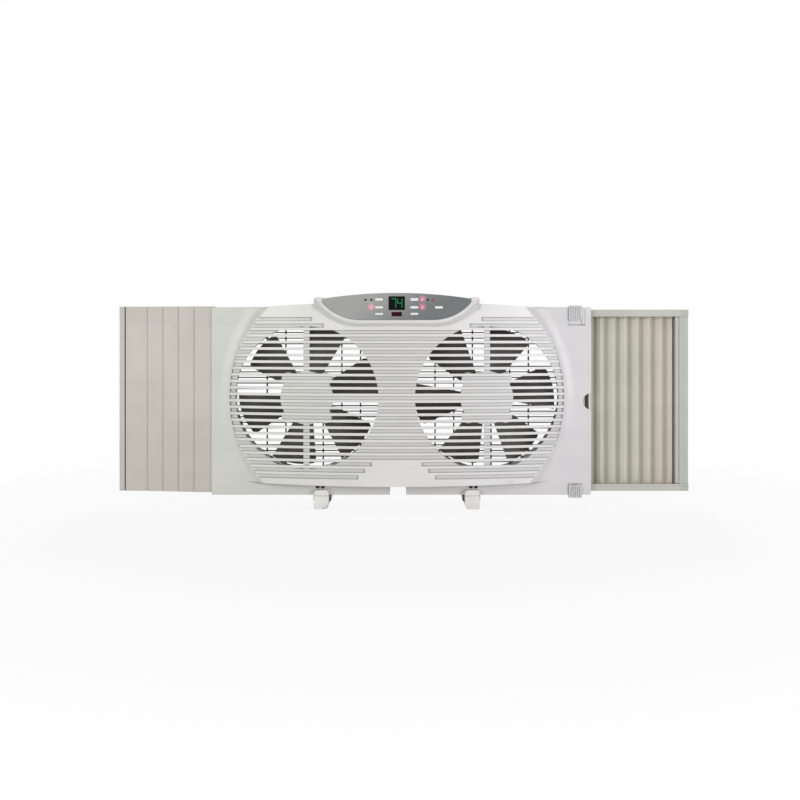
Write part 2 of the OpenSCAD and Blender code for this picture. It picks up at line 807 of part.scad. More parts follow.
// One cambered blade about the fan axis, its straight edge at angle a
module blade(a) {
    mid = blade_tip_deg / 2;
    rotate([0, -a, 0]) intersection() {
        along_y(hub_y0 - 4, hub_y0 + hub_len + 10) intersection() {
            polygon(blade_outline);
            circle(tip_r, $fn = 180);
            translate(polar(tip_arc_out, -50)) circle(tip_arc_r, $fn = 180);
        }
        rotate([0, -mid, 0]) translate([0, blade_mid_y, 0]) rotate([-blade_pitch, 0, 0])
            translate([hub_r - 6, camber_r, 0]) rotate([0, 90, 0]) difference() {
                cylinder(r = camber_r + blade_t / 2, h = tip_r, $fn = big_fn);
                translate([0, 0, -1])
                    cylinder(r = camber_r - blade_t / 2, h = tip_r + 2, $fn = big_fn);
            }
    }
}

module fan(x, start) {
    color(DARK) translate([x, 0, fan_z]) difference() {
        union() {
            for (k = [0 : blades - 1]) blade(start + k * 360 / blades);
            rod_y(0, 0, hub_r, hub_y0, hub_y0 + hub_len, $fn = 96);
        }
        rod_y(0, 0, hub_r - 3, hub_y0 + 3, hub_y0 + hub_len + 20, $fn = 96);
        rod_y(0, 0, shaft_r, -far, far);
    }
    color(DARK) along_y(hub_y0, hub_y0 + hub_len) translate([x, fan_z]) difference() {
        circle(8);
        circle(shaft_r);
    }
}
module left_blades() { fan(-fan_x, left_fan_deg); }
module right_blades() { fan(fan_x, right_fan_deg); }

// ---- Controls ------------------------------------------------------------------------------

panel_y = -panel_front;
panel_back = panel_y + panel_t;
box_wall = 2;
board_y = panel_back + 10;
board_t = 1.6;
cap_out = 1.2;                          // how far a button stands out of the panel
switch_top = board_y - 5;               // front of the key switches' plungers
button_back = switch_top - button_travel - 0.1;
led_rows = [button_rows[2] - 0.6, button_rows[1] - 0.4];
lit_places = [[39, led_rows[0]], [55.2, led_rows[0]], [-38.2, led_rows[1]], [39, led_rows[1]]];
dark_places = [[-47.4, led_rows[0]], [-38.6, led_rows[0]], [47.3, led_rows[0]]];
sensor_w = 15.8;
sensor_h = 6.6;
sensor_z = 302.9;
standoffs = [[-80, 316], [80, 316], [-46, 303], [46, 303]];
// Place of a button in column x and row i, and its height
function button_at(x, i) = [x, button_rows[i], button_heights[i]];
button_places = [
    button_at(-button_col, 2), button_at(-button_col, 1), button_at(-button_col, 0),
    button_at(button_col, 2), button_at(button_col, 1), button_at(button_col, 0),
    button_at(lone_button_x, 1)
];

module control_box() {
    hood_z = body_z1;
    color(SHELL) {
        difference() {
            union() {
                along_y(panel_back, -0.5) panel_outline(-clear);
                along_y(-1, control_back) intersection() {
                    panel_outline(-clear);
                    translate([-far, hood_z]) square([2 * far, far]);
                }
            }
            along_y(panel_back - 1, -0.5 - box_wall) panel_outline(-clear - box_wall);
            along_y(-4, control_back - box_wall) intersection() {
                panel_outline(-clear - box_wall);
                translate([-far, hood_z + box_wall]) square([2 * far, far]);
            }
        }
        for (p = standoffs) rod_y(p[0], p[1], 3, board_y + board_t, -0.5 - box_wall / 2);
    }
}

module control_panel() {
    color(FASCIA) along_y(panel_y, panel_back) difference() {
        panel_outline(0);
        for (p = button_places)
            translate([p[0], p[1]]) pill(button_w + 2 * clear, p[2] + 2 * clear);
        for (p = concat(lit_places, dark_places)) translate(p) circle(indicator_r + screw_fit);
        translate([-display_w / 2, display_z - display_h / 2]) square([display_w, display_h]);
        translate([-sensor_w / 2, sensor_z - sensor_h / 2]) square([sensor_w, sensor_h]);
    }
}

module display_window() {
    color([0.03, 0.05, 0.04]) span([-display_w / 2, panel_y, display_z - display_h / 2],
                                   [display_w / 2, board_y, display_z + display_h / 2]);
}

digit_t = 0.2;
seg_w = 1.1;
digit_mid = display_w / 4 - 1.6;

// Bars of a seven-part digit that are lit, by place: top, upper right, lower right, bottom,
// lower left, upper left, middle
function digit_bars(n) = n == 7 ? [0, 1, 2] : [1, 2, 5, 6];

module digit(n) {
    half = digit_h / 2;
    for (b = digit_bars(n)) {
        if (b == 0 || b == 3 || b == 6)
            translate([-digit_w / 2, (b == 0 ? half : b == 3 ? -half : 0) - seg_w / 2])
                square([digit_w, seg_w]);
        else
            translate([(b < 3 ? 1 : -1) * digit_w / 2 - seg_w / 2, (b == 1 || b == 5) ? 0 : -half])
                square([seg_w, half]);
    }
}

module display_digits() {
    color([0.1, 0.9, 0.4]) along_y(panel_y - digit_t, panel_y) {
        translate([-digit_mid, display_z]) digit(7);
        translate([digit_mid, display_z]) digit(4);
    }
}

module sensor_window() {
    color([0.35, 0.03, 0.05]) span([-sensor_w / 2, panel_y, sensor_z - sensor_h / 2],
                                   [sensor_w / 2, board_y, sensor_z + sensor_h / 2]);
}

module circuit_board() {
    color([0.1, 0.4, 0.2]) along_y(board_y, board_y + board_t) intersection() {
        panel_outline(-4);
        translate([-100, 0]) square([200, far]);
    }
}

module key_switches() {
    color([0.15, 0.15, 0.15]) for (p = button_places) {
        span([p[0] - 3, switch_top + 1, p[1] - 3], [p[0] + 3, board_y, p[1] + 3]);
        rod_y(p[0], p[1], 1.6, switch_top, switch_top + 2);
    }
}

module indicators(places) {
    for (p = places) {
        rod_y(p[0], p[1], indicator_r, panel_y - 0.3, board_y - 3);
        rod_y(p[0], p[1], indicator_r + 0.4, board_y - 4, board_y);
    }
}
module lit_indicators() { color([0.9, 0.2, 0.3]) indicators(lit_places); }
module dark_indicators() { color([0.2, 0.05, 0.06]) indicators(dark_places); }

module button(p) {
    color(BUTTON) translate([p[0], 0, p[1]]) {
        along_y(panel_y - cap_out, button_back) pill(button_w, p[2]);
        along_y(panel_back + clear, panel_back + clear + 1) pill(button_w + 1.6, p[2] + 1.6);
    }
}
module button_left_top() { button(button_places[0]); }
module button_left_middle() { button(button_places[1]); }
module button_left_bottom() { button(button_places[2]); }
module button_right_top() { button(button_places[3]); }
module button_right_middle() { button(button_places[4]); }
module button_right_bottom() { button(button_places[5]); }
module button_far_right() { button(button_places[6]); }

// ---- Rear fittings -------------------------------------------------------------------------

cord_x = 262;
cord_z = 110;
cord_body_r = 7;
cord_hole_r = 3.6;

module cord_inlet() {
    color(DARK) turned(cord_x, cord_z) polygon([
        [cord_hole_r, housing_depth - wall - 3], [cord_body_r, housing_depth - wall - 3],
        [cord_body_r, housing_depth], [cord_body_r + 2.5, housing_depth],
        [cord_body_r + 2.5, housing_depth + 2], [cord_hole_r + 2, housing_depth + 9],
        [cord_hole_r, housing_depth + 9]
    ]);
}

module housing_screws() {
    color(STEEL) for (p = body_screws) {
        rod_y(p[0], p[1], screw_r, screw_tip_y, housing_depth + 1);
        rod_y(p[0], p[1], 2.2 * screw_r, housing_depth, housing_depth + 2);
    }
}

// ---- Locks ---------------------------------------------------------------------------------

rib_pitch = 3.4;

// Lock of height h with ribs on its face, from z0, its stem starting at stem_z
module lock(z0, h, stem_z) {
    floor_y = flange_y + lock_recess - clear;
    color([0.78, 0.78, 0.79]) {
        difference() {
            span([lock_x0, floor_y - lock_t, z0], [lock_x1, floor_y, z0 + h]);
            for (k = [-2 : 2]) span([lock_mid + k * rib_pitch - 0.6, floor_y - lock_t - 1, z0 + 2],
                                    [lock_mid + k * rib_pitch + 0.6, floor_y - lock_t + 0.6,
                                     z0 + h - 2]);
        }
        span([lock_mid - lock_stem_w / 2, floor_y - eps, stem_z],
             [lock_mid + lock_stem_w / 2, flange_back + clear + eps, stem_z + lock_stem_h]);
        span([lock_mid - lock_stem_w / 2 - 2, flange_back + clear, stem_z],
             [lock_mid + lock_stem_w / 2 + 2, flange_back + clear + 1.2, stem_z + lock_stem_h]);
    }
}
module upper_lock() { lock(upper_lock_z0, lock_h, upper_lock_stem); }
module lower_lock() { lock(lower_lock_z0, lower_lock_h, lower_lock_stem); }

// ---- Right expander ------------------------------------------------------------------------

frame_z0 = body_z0 + wall + 1.8;
frame_z1 = body_z1 - wall - 1.1;
stile_x1 = body_right + right_reach;
stile_x0 = stile_x1 - right_stile_w;
bead_x0 = stile_x0 - bead_w;
rail_x0 = body_right - rail_inside;
shelf_t = 2.5;
shelf_x0 = rail_x0 - 122;
shelf_x1 = body_right - 7.5;
clamp_w = 4;
frame_travel = 120;

rail_lip = 2.5;                         // height of the proud edge along a rail's open side

// Rail with its open side towards the curtain, at the top or the bottom
module rail(top) {
    z0 = top ? frame_z1 - rail_h : frame_z0;
    z1 = z0 + rail_h;
    color(SLAT) difference() {
        span([rail_x0, frame_y0, z0], [stile_x1, frame_y1, z1]);
        span([rail_x0 - 1, frame_y0 + rail_wall, top ? z0 - 1 : z0 + rail_wall],
             [stile_x0, frame_y1 - rail_wall, top ? z1 - rail_wall : z1 + 1]);
        span([rail_x0 - 1, frame_y0 - 1, top ? z0 + rail_lip : z0 - 1],
             [stile_x1 + 1, frame_y0 + 0.5, top ? z1 + 1 : z1 - rail_lip]);
    }
}
module upper_rail() { rail(true); }
module lower_rail() { rail(false); }

module right_stile() {
    color(SLAT) {
        translate([0, 0, frame_z0 + rail_h]) linear_extrude(frame_z1 - frame_z0 - 2 * rail_h) {
            translate([stile_x0, frame_y0 + 0.5]) square([right_stile_w - 3, rail_d - 1]);
            translate([stile_x0, frame_y0 + 3.5]) square([right_stile_w, rail_d - 7]);
            for (y = [frame_y0 + 3.5, frame_y1 - 3.5]) translate([stile_x1 - 3, y]) circle(3);
        }
        span([bead_x0, frame_y0 + 2, frame_z0 + rail_h + clear],
             [stile_x0, frame_y1 - 2, frame_z1 - rail_h - clear]);
    }
}

// Guide for one rail inside the body
module channel(top) {
    z = top ? frame_z1 - rail_h - clear - shelf_t : frame_z0 + rail_h + clear;
    lip_z0 = top ? z : z - 5;
    color(SHELL) {
        translate([0, 0, z]) linear_extrude(shelf_t) intersection() {
            translate([shelf_x0, frame_y0 - 3]) square([shelf_x1 - shelf_x0, far]);
            housing_plan(wall, -1);
        }
        span([shelf_x0, frame_y0 - 3, lip_z0], [shelf_x1, frame_y0 - clear, lip_z0 + 5 + shelf_t]);
    }
}
module upper_channel() { channel(true); }
module lower_channel() { channel(false); }

clamp_z0 = frame_z0 + rail_h + clear + shelf_t;
clamp_z1 = frame_z1 - rail_h - clear - shelf_t;

module curtain_clamp() {
    color(SHELL) span([shelf_x1 - clamp_w, frame_y0 + 2, clamp_z0],
                      [shelf_x1, frame_y1 - 2, clamp_z1]);
}

curtain_x0 = shelf_x1 + clear;
curtain_x1 = bead_x0 - clear;
curtain_mid = (frame_y0 + frame_y1) / 2;
pleat_points = 8;                       // points along one pleat

// Height of the pleats at the share t of a pleat, round at crest and root
function pleat(t) = (pleat_depth - curtain_t) / 2 * (0.85 * sin(360 * t) - 0.06 * sin(1080 * t));

module pleated_curtain() {
    n = floor((curtain_x1 - curtain_x0) / pleat_pitch * pleat_points);
    step = (curtain_x1 - curtain_x0) / n;
    ys = [for (i = [0 : n]) curtain_mid + pleat(i / pleat_points)];
    color(CURTAIN) translate([0, 0, frame_z0 + rail_h - 2])
        linear_extrude(frame_z1 - frame_z0 - 2 * rail_h + 4) polygon(concat(
            [for (i = [0 : n]) [curtain_x0 + i * step, ys[i] - curtain_t / 2]],
            [for (i = [n : -1 : 0]) [curtain_x0 + i * step, ys[i] + curtain_t / 2]]
        ));
}

// ---- Left expander -------------------------------------------------------------------------

first_left = -body_left - slat_show;    // outer edge of the first slat, pulled out
slat_lip = slat_gap - clear;
slat_overlap = slat_w - slat_pitch;
lip_w = (slat_overlap - clear) / 2;
last_x0 = first_left - 3 * slat_pitch - last_slat_show;
last_x1 = first_left - 3 * slat_pitch + slat_overlap;

// Slat i, the first one nearest the body, with the lips that catch its neighbours
module slat(i) {
    y = slat_front + (i - 1) * slat_layer;
    x0 = i < 5 ? first_left - (i - 1) * slat_pitch : last_x0;
    x1 = i < 5 ? x0 + slat_w : last_x1;
    in_lip = i == 1 ? x1 - (-body_left + 1.7 + clear) : lip_w;
    color(SLAT) {
        span([x0, y, slat_z0], [x1, y + slat_t, slat_z1]);
        if (i < 5) span([x0, y + slat_t - eps, slat_z0], [x0 + lip_w, y + slat_t + slat_lip, slat_z1]);
        span([x1 - in_lip, y - slat_lip, slat_z0], [x1, y + eps, slat_z1]);
    }
}
module slat_1() { slat(1); }
module slat_2() { slat(2); }
module slat_3() { slat(3); }
module slat_4() { slat(4); }
module slat_5() { slat(5); }

stile_gap = 1.4;                        // width of the groove between the last slat and its stile

module left_stile() {
    back = slat_front + 4 * slat_layer + slat_t;
    y0 = back - slat_t - 0.8;
    color(SLAT) translate([0, 0, slat_z0]) linear_extrude(slat_z1 - slat_z0) {
        translate([last_x0 - left_stile_w + 2, y0])
            square([left_stile_w - 2 - stile_gap, left_stile_d]);
        translate([last_x0 - left_stile_w, y0 + 2])
            square([left_stile_w - stile_gap, left_stile_d - 4]);
        translate([last_x0 - stile_gap - 1, back]) square([stile_gap + 6, 3]);
        for (y = [y0 + 2, y0 + left_stile_d - 2])
            translate([last_x0 - left_stile_w + 2, y]) circle(2);
    }
}

// ---- Feet ----------------------------------------------------------------------------------

swivel_z0 = 5;
foot_top = body_z0 - clear;
post_back = flange_y + 3;
pad_t = 2;
pad_out = 0.6;                          // how far the pads stand out of the sole
bracket_t = 12;
bracket_top = 30;

module foot_brackets() {
    color(BUTTON) for (s = [-1, 1]) along_y(flange_y - bracket_t, flange_y) intersection() {
        translate([s * foot_x - foot_w / 2, body_z0]) square([foot_w, bracket_top - body_z0]);
        union() {
            translate([s * foot_x - foot_w / 2, 0]) square([foot_w, bracket_top - 5]);
            for (t = [-1, 1]) translate([s * foot_x + t * (foot_w / 2 - 5), bracket_top - 5]) circle(5);
            translate([s * foot_x - foot_w / 2 + 5, 0]) square([foot_w - 10, far]);
        }
    }
}

module foot_pins() {
    color(STEEL) for (s = [-1, 1]) translate([s * foot_x, pivot_y, 0]) {
        translate([0, 0, swivel_z0 + 3]) cylinder(r = pin_r, h = body_z0 + wall - swivel_z0 - 3);
        translate([0, 0, swivel_z0 + 0.5]) cylinder(r = 2 * pin_r, h = 3);
    }
}

// Curves that the inner lower corners of the two feet are cut to, from the corner inwards
wide_toe = [[-1, -1], [-1, 8], [0, 7.4], [3, 5], [8, 2], [13, 0], [13, -1]];
narrow_toe = [[-1, -1], [-1, 8], [0, 7.2], [0.8, 4.6], [2.4, 2.2], [5.2, 0], [5.2, -1]];

// Mirrors in X when s is negative
module scale_x(s) {
    mirror([s < 0 ? 1 : 0, 0]) children();
}

// Bore and head recess around a foot's pin
module pin_room() {
    cylinder(r = pin_r + running, h = far, center = true);
    translate([0, 0, -far]) cylinder(r = 2 * pin_r + clear, h = far + swivel_z0 + 3.5 + clear);
}

module foot(s) {
    color(BUTTON) translate([s * foot_x, pivot_y, 0]) difference() {
        union() {
            // post, with its inner lower corner cut away in a curve
            along_y(-foot_front, post_back - pivot_y) difference() {
                translate([-foot_w / 2, 0]) square([foot_w, foot_top]);
                translate([-s * foot_w / 2, 0]) scale_x(s) polygon(s < 0 ? wide_toe : narrow_toe);
            }
            translate([-sole_w / 2, -foot_front + 4, pad_out]) cube([sole_w, foot_front - 4, sole_t]);
            translate([-sole_w / 2, 0, pad_out]) cube([sole_w, foot_back - sole_w / 2, sole_t]);
            translate([0, foot_back - sole_w / 2, pad_out]) cylinder(r = sole_w / 2, h = sole_t);
            translate([-3, 0, pad_out]) cube([6, foot_back - 20, sole_t + 4]);
        }
        pin_room();
        translate([0, 0, sole_t + pad_out]) cylinder(r = swivel_r + eps, h = far);
        for (y = pad_places) translate([0, y, -eps]) cylinder(r = pad_r, h = pad_t + eps);
    }
}
pad_r = 6;
pad_places = [-foot_front + 10, foot_back - sole_w / 2];
module left_foot() { foot(-1); }
module right_foot() { foot(1); }

// Round puck with eased edges that turns under the body
module swivel(s) {
    z0 = sole_t + pad_out;
    e = 2.5;
    color(DARK) translate([s * foot_x, pivot_y, 0]) rotate_extrude() polygon([
        [pin_r + running, z0], [swivel_r - e, z0], [swivel_r - e / 4, z0 + e / 2], [swivel_r, z0 + e],
        [swivel_r, foot_top - e], [swivel_r - e / 4, foot_top - e / 2], [swivel_r - e, foot_top],
        [pin_r + running, foot_top]
    ]);
}
module left_swivel() { swivel(-1); }
module right_swivel() { swivel(1); }

module foot_pads(s) {
    color(RUBBER) for (y = pad_places) translate([s * foot_x, pivot_y + y, 0])
        cylinder(r = pad_r, h = pad_t);
}
module left_foot_pads() { foot_pads(-1); }
module right_foot_pads() { foot_pads(1); }

// ---- Nodes ---------------------------------------------------------------------------------

front_cover();
rear_housing();
left_duct();
right_duct();
left_rear_grille();
right_rear_grille();
left_motor();
right_motor();
motor_screws();
left_shaft();
right_shaft();
left_blades();
right_blades();
left_blade_nut();
right_blade_nut();
control_box();
control_panel();
display_window();
display_digits();
sensor_window();
circuit_board();
key_switches();
lit_indicators();
dark_indicators();
button_left_top();
button_left_middle();
button_left_bottom();
button_right_top();
button_right_middle();
button_right_bottom();
button_far_right();
cord_inlet();
housing_screws();
upper_channel();
lower_channel();
curtain_clamp();
upper_lock();
lower_lock();
upper_rail();
lower_rail();
right_stile();
pleated_curtain();
slat_1();
slat_2();
slat_3();
slat_4();
slat_5();
left_stile();
foot_brackets();
foot_pins();
left_foot();
right_foot();
left_swivel();
right_swivel();
left_foot_pads();
right_foot_pads();
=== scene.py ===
"""Looks of the twin window fan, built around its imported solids.

Each sub-assembly is a class that makes or softens its pieces and dresses them. Lengths are in
metres, in the solids' own frame: X along the window, Y towards the outside, Z up.
"""

import logging
import math
from dataclasses import dataclass
from enum import Enum
from typing import Any, Iterable

import bmesh
import bpy
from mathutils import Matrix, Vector


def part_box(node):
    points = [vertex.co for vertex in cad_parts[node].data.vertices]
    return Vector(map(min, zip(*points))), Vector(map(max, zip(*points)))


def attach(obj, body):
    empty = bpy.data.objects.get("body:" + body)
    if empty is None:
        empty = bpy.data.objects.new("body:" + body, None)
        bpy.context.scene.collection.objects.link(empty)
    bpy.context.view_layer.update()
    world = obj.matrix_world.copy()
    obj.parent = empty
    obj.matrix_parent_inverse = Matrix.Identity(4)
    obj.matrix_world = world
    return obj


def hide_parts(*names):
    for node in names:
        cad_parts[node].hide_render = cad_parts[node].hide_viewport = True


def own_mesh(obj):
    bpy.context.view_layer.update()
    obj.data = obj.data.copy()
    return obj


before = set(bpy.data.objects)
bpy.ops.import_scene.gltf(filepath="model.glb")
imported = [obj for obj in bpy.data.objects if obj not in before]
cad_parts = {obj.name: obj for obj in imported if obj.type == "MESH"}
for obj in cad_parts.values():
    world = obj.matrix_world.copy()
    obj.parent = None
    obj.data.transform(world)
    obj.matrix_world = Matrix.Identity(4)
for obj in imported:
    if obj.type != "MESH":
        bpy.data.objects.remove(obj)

LOG = logging.getLogger("window_fan")
MM = 0.001
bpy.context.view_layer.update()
HOUSING = "housing"

MERGE_GAP = 2e-6  # corners closer than this are one corner
FLAT_ANGLE = math.radians(0.6)  # faces closer than this in slope are one face
ROUND_ANGLE = math.radians(28)  # edges sharper than this are rounded
SHADE_ANGLE = math.radians(38)  # edges sharper than this are shaded as edges
BLACK = (0.0, 0.0, 0.0, 1.0)
WHITE = (1.0, 1.0, 1.0, 1.0)
# Painted glow on the control panel, standing for the light of the lit lamps:
PAINTED_GLOW_REACH = 7.5 * MM  # how far a lamp tints the panel
PAINTED_GLOW_STRENGTH = 0.5


# ---- Shader expressions ----------------------------------------------------------------------


@dataclass(frozen=True)
class Wire:
    """One output of a shader node, on which sums can be written.

    Args:
        graph: the node graph that the output belongs to.
        socket: the output itself.
    """

    graph: "Graph"
    socket: bpy.types.NodeSocket

    def _sum(self, operation: str, first: Any, second: Any) -> "Wire":
        """Adds one Math node."""
        return self.graph.wire("ShaderNodeMath", {"operation": operation}, {0: first, 1: second})

    def __add__(self, other: Any) -> "Wire":
        """Sum."""
        return self._sum("ADD", self, other)

    def __radd__(self, other: Any) -> "Wire":
        """Sum, reflected."""
        return self._sum("ADD", other, self)

    def __sub__(self, other: Any) -> "Wire":
        """Difference."""
        return self._sum("SUBTRACT", self, other)

    def __rsub__(self, other: Any) -> "Wire":
        """Difference, reflected."""
        return self._sum("SUBTRACT", other, self)

    def __mul__(self, other: Any) -> "Wire":
        """Product."""
        return self._sum("MULTIPLY", self, other)

    def __rmul__(self, other: Any) -> "Wire":
        """Product, reflected."""
        return self._sum("MULTIPLY", other, self)

    def above(self, edge: float) -> "Wire":
        """1 where the value is over an edge, and 0 elsewhere."""
        return self._sum("GREATER_THAN", self, edge)

    def smooth(self, low: float, high: float) -> "Wire":
        """0 to 1 between two values, eased at both ends.

        Args:
            low: the value that gives 0.
            high: the value that gives 1.

        Returns:
            The eased value.
        """
        settings = {"interpolation_type": "SMOOTHSTEP", "clamp": True}
        values = {"Value": self, "From Min": low, "From Max": high}
        return self.graph.wire("ShaderNodeMapRange", settings, values)


class Graph:
    """The node tree of one material."""

    def __init__(self, material: bpy.types.Material) -> None:
        """Empties the material's tree."""
        material.use_nodes = True
        self.tree = material.node_tree
        self.tree.nodes.clear()

    def add(self, kind: str, settings: dict[str, Any], inputs: dict[Any, Any]) -> bpy.types.Node:
        """Adds a node, sets it, and fills its sockets.

        Args:
            kind: the node's type.
            settings: the node's own settings.
            inputs: values or wires, by socket name or number.

        Returns:
            The new node.
        """
        node = self.tree.nodes.new(kind)
        for name, value in settings.items():
            setattr(node, name, value)
        for name, value in inputs.items():
            if isinstance(value, Wire):
                self.tree.links.new(value.socket, node.inputs[name])
            else:
                node.inputs[name].default_value = value
        return node

    def wire(
        self, kind: str, settings: dict[str, Any], inputs: dict[Any, Any], output: Any = 0
    ) -> Wire:
        """Adds a node and takes one of its outputs.

        Args:
            kind: the node's type.
            settings: the node's own settings.
            inputs: values or wires, by socket name or number.
            output: name or number of the output.

        Returns:
            That output.
        """
        return Wire(self, self.add(kind, settings, inputs).outputs[output])

    def place(self, scale: Iterable[float] = (1.0, 1.0, 1.0)) -> Wire:
        """Object coordinates, stretched by a scale."""
        where = self.wire("ShaderNodeTexCoord", {}, {}, "Object")
        return self.wire("ShaderNodeMapping", {}, {"Vector": where, "Scale": tuple(scale)})

    def axis(self, name: str) -> Wire:
        """One object coordinate, in metres."""
        where = self.wire("ShaderNodeTexCoord", {}, {}, "Object")
        return self.wire("ShaderNodeSeparateXYZ", {}, {0: where}, name)

    def noise(self, size: float, detail: float = 2.0, where: Wire | None = None) -> Wire:
        """Soft noise with features of about a size in metres.

        Args:
            size: size of the features.
            detail: number of finer layers.
            where: coordinates, if not the object's own.

        Returns:
            The noise, from 0 to 1.
        """
        inputs = {"Vector": where or self.place(), "Scale": 1.0 / size, "Detail": detail}
        return self.wire("ShaderNodeTexNoise", {}, inputs, 0)

    def crevice(self, reach: float, own: bool) -> Wire:
        """How far a point lies in a groove, gap or corner.

        Args:
            reach: how far surfaces are felt, in metres.
            own: whether only the piece itself is felt.

        Returns:
            0 on an open face, up to 1 in a deep gap.
        """
        settings = {"samples": 8, "only_local": own}
        open_share = self.wire("ShaderNodeAmbientOcclusion", settings, {"Distance": reach}, "AO")
        return 1.0 - open_share

    def blend(self, share: Any, first: Any, second: Any) -> Wire:
        """Mixes two colours.

        Args:
            share: 0 for the first colour and 1 for the second.
            first: colour or wire.
            second: colour or wire.

        Returns:
            The mixed colour.
        """
        inputs = {0: share, 6: first, 7: second}
        return self.wire("ShaderNodeMix", {"data_type": "RGBA"}, inputs, 2)

    def dim(self, colour: Any, factor: Any) -> Wire:
        """Darkens a colour.

        Args:
            colour: colour or wire.
            factor: what it is multiplied by, as a number or a wire.

        Returns:
            The darker colour.
        """
        first = colour if isinstance(colour, Wire) else tuple(colour[:3])
        inputs = {0: first, "Scale": factor}
        return self.wire("ShaderNodeVectorMath", {"operation": "SCALE"}, inputs)

    def bump(self, height: Wire, depth: float, under: Wire | None = None) -> Wire:
        """Turns a height from 0 to 1 into a bent normal.

        Args:
            height: the height.
            depth: depth in metres that a height of 1 stands for.
            under: normal that this one bends further.

        Returns:
            The normal.
        """
        inputs: dict[str, Any] = {"Height": height, "Distance": depth, "Strength": 1.0}
        if under is not None:
            inputs["Normal"] = under
        return self.wire("ShaderNodeBump", {}, inputs)


# ---- Finishes --------------------------------------------------------------------------------


def linear(red: int, green: int, blue: int) -> tuple[float, float, float, float]:
    """A colour written as 0 to 255 on a screen, as light.

    Args:
        red: red, 0 to 255.
        green: green, 0 to 255.
        blue: blue, 0 to 255.

    Returns:
        The colour as a renderer takes it.
    """
    parts = [value / 255 for value in (red, green, blue)]
    parts = [v / 12.92 if v <= 0.04045 else ((v + 0.055) / 1.055) ** 2.4 for v in parts]
    return (parts[0], parts[1], parts[2], 1.0)


def shade(colour: tuple[float, ...], by: float) -> tuple[float, ...]:
    """A colour made lighter or darker by a factor."""
    return tuple(min(1.0, part * by) for part in colour[:3]) + (1.0,)


@dataclass(frozen=True)
class Plastic:
    """Moulded plastic with a fine skin, faint flow marks, painted shade in grooves and eased edges.

    Args:
        name: the material's name.
        colour: main colour.
        roughness: mean roughness.
        coat: weight of the glossy skin.
        grain: size of the skin's grain.
        grain_depth: depth of that grain.
        mottle: how much the colour varies.
        edge: radius that edges are shaded to.
        far_colour: colour at the right end, where it drifts along X.
        drift: the stretch of X over which it drifts.
        slant: how much of Z the drift takes in, downwards.
        painted_back_shade: how much painted shade darkens the parts set farther back.
        back_axis: the axis along which they darken.
        back: the stretch of it over which they darken.
        painted_crevice_shade: how much painted shade darkens grooves, gaps and corners.
        reach: how far surfaces are felt for that.
        own: whether only the piece's own surfaces are felt.
        index: refractive index, which sets how much a plain view reflects.
        painted_glows: places around which the panel glows with painted lamp light.
    """

    name: str
    colour: tuple[float, ...]
    roughness: float = 0.42
    coat: float = 0.0
    grain: float = 0.0007
    grain_depth: float = 0.000012
    mottle: float = 0.05
    edge: float = 0.0006
    far_colour: tuple[float, ...] | None = None
    drift: tuple[float, float] = (-0.3, 0.3)
    slant: float = 0.0
    painted_back_shade: float = 0.0
    back_axis: str = "Y"
    back: tuple[float, float] = (-0.022, -0.003)
    painted_crevice_shade: float = 0.0
    reach: float = 0.005
    own: bool = True
    index: float = 1.5
    painted_glows: tuple[tuple[float, float, float], ...] = ()

    def build(self) -> bpy.types.Material:
        """Makes the material."""
        material = bpy.data.materials.new(self.name)
        graph = Graph(material)
        tint: Any = self.colour
        # Colour drifting along X, and downwards with slant; the panel's drift is a painted
        # reflection and shade.
        if self.far_colour is not None:
            share = (graph.axis("X") - self.slant * graph.axis("Z")).smooth(*self.drift)
            tint = graph.blend(share, self.colour, self.far_colour)
        flow = graph.noise(0.09, 3.0, graph.place((1.0, 1.0, 2.2)))
        level = 1.0 - self.mottle * flow.smooth(0.35, 0.7)
        # Painted shade: parts set farther back along one axis are darkened.
        if self.painted_back_shade:
            level = level * (1.0 - self.painted_back_shade * graph.axis(self.back_axis).smooth(*self.back))
        colour = graph.dim(tint, level)
        # Painted shade: grooves, gaps and corners are darkened by how closed in they are.
        if self.painted_crevice_shade:
            depth = graph.crevice(self.reach, self.own).smooth(0.03, 0.6) * self.painted_crevice_shade
            colour = graph.blend(depth, colour, shade(self.colour, 0.12))
        specks = graph.noise(0.012, 4.0)
        rough = self.roughness + (flow - 0.5) * 0.08 + (specks - 0.5) * 0.06
        eased = graph.wire("ShaderNodeBevel", {"samples": 4}, {"Radius": self.edge})
        skin = graph.noise(self.grain, 2.0)
        normal = graph.bump(skin, self.grain_depth, eased)
        inputs: dict[str, Any] = {
            "Base Color": colour,
            "Roughness": rough,
            "IOR": self.index,
            "Coat Weight": self.coat,
            "Coat Roughness": 0.25,
            "Normal": normal,
        }
        # Painted glow: the panel emits pink light around the lit lamps, standing for their light
        # spilling onto it.
        if self.painted_glows:
            near: Any = 0.0
            for place in self.painted_glows:
                gap = graph.wire(
                    "ShaderNodeVectorMath", {"operation": "DISTANCE"},
                    {0: graph.place((1.0, 0.0, 1.0)), 1: place}, "Value",
                )
                near = near + (1.0 - gap.smooth(0.0, PAINTED_GLOW_REACH))
            inputs["Emission Color"] = graph.blend(near, BLACK, linear(255, 110, 150))
            inputs["Emission Strength"] = PAINTED_GLOW_STRENGTH
        shader = graph.wire("ShaderNodeBsdfPrincipled", {}, inputs)
        graph.add("ShaderNodeOutputMaterial", {}, {"Surface": shader})
        return material


